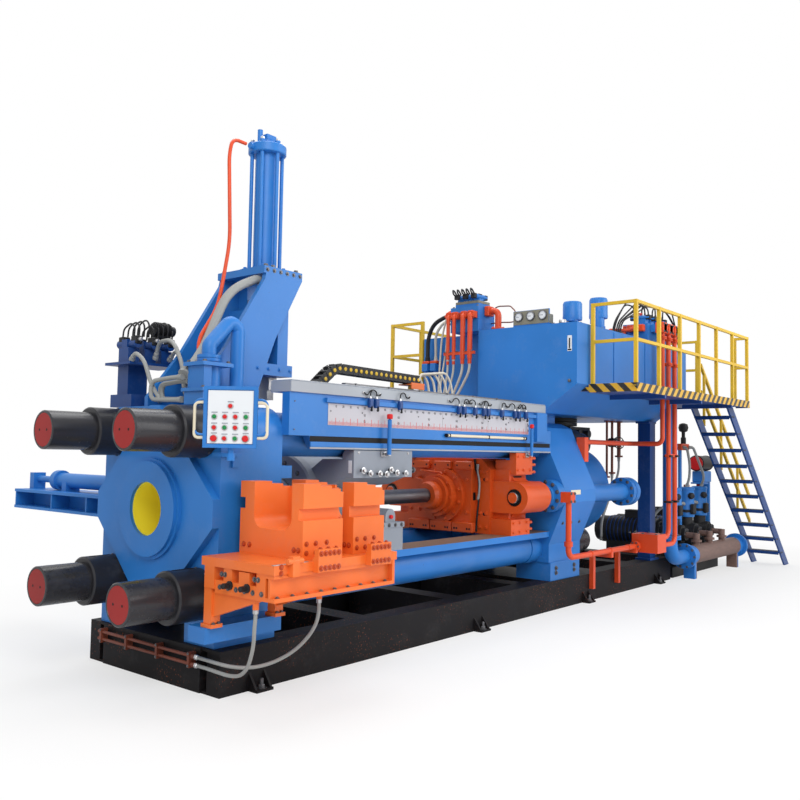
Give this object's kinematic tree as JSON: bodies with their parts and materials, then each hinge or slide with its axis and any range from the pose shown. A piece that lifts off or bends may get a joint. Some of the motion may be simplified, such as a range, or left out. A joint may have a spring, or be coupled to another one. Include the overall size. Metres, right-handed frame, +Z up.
{
  "type": "hot extrusion press",
  "caption": "Horizontal hydraulic hot extrusion press with tie rods, container, crosshead, butt shear, side die changer, overhead oil tank, platform and stairs.",
  "frame": {"origin": "on the floor under the front end of the base, on the press's middle plane", "axes": "+X along the press from the die end to the rear, +Y away from the operator's side, +Z up"},
  "size_m": [13.4095, 5.0673, 5.175],
  "materials": {
    "press_blue": "semi-gloss paint",
    "base_black": "matte paint",
    "machine_orange": "semi-gloss paint",
    "housing_grey": "satin paint",
    "bright_steel": "machined",
    "safety_yellow": "gloss paint",
    "hose_grey": "matte"
  },
  "bodies": {
    "press_frame": {"base_beam_far": "base_black", "base_beam_near": "base_black", "base_cross_beams": "base_black", "base_pipes": "machine_orange", "changer_frame": "machine_orange", "changer_hose_front": "hose_grey", "changer_hose_rear": "hose_grey", "changer_slab": "press_blue", "control_arm": "press_blue", "control_panel": "press_blue", "deck_far": "press_blue", "deck_near": "press_blue", "die_bridge": "machine_orange", "die_push_cylinder": "press_blue", "exit_liner": "safety_yellow", "far_valve_stand": "press_blue", "front_manifold": "press_blue", "front_manifold_pipes": "machine_orange", "front_platen": "press_blue", "lower_rails": "housing_grey", "main_cylinder": "press_blue", "oil_tank": "press_blue", "platen_valve": "press_blue", "prefill_valve": "press_blue", "pump_sets": "press_blue", "pump_skid": "base_black", "railing_far": "safety_yellow", "railing_near": "safety_yellow", "rear_platen": "press_blue", "rod_nuts": "base_black", "rod_sleeves": "press_blue", "scale_beam": "press_blue", "shear_cylinder": "press_blue", "shear_frame": "press_blue", "side_cylinder_far": "press_blue", "side_cylinder_near": "press_blue", "side_drop_pipes": "machine_orange", "side_manifold": "machine_orange", "stair_handrail": "safety_yellow", "stairs": "press_blue", "suction_line": "housing_grey", "supply_pipes": "machine_orange", "tank_cover": "press_blue", "tank_fittings": "press_blue", "tank_legs": "press_blue", "tank_saddle": "press_blue", "tie_rods": "base_black", "upper_rails": "housing_grey", "valve_pipe": "press_blue"},
    "container": {"container_housing": "housing_grey", "container_liner": "bright_steel"},
    "crosshead": {"crosshead": "machine_orange", "stem_holder": "machine_orange", "extrusion_stem": "bright_steel", "main_ram": "bright_steel", "side_rods": "bright_steel"},
    "shear_slide": {"shear_slide": "bright_steel"},
    "die_carriage": {"carriage_plate": "machine_orange", "cradle_front": "machine_orange"},
    "die_cassette": {"cradle_rear": "machine_orange"}
  },
  "joints": [
    {"name": "container_slide", "type": "slide", "parent": "press_frame", "child": "container", "axis": [-1, 0, 0], "range_m": [0, 0.27]},
    {"name": "crosshead_slide", "type": "slide", "parent": "press_frame", "child": "crosshead", "axis": [-1, 0, 0], "range_m": [0, 1.45]},
    {"name": "shear_slide_down", "type": "slide", "parent": "press_frame", "child": "shear_slide", "axis": [0, 0, 1], "range_m": [-0.95, 0]},
    {"name": "die_carriage_shift", "type": "slide", "parent": "press_frame", "child": "die_carriage", "axis": [-1, 0, 0], "range_m": [-0.56, 0]},
    {"name": "die_cassette_in", "type": "slide", "parent": "die_carriage", "child": "die_cassette", "axis": [0, 1, 0], "range_m": [0, 1.355]}
  ]
}
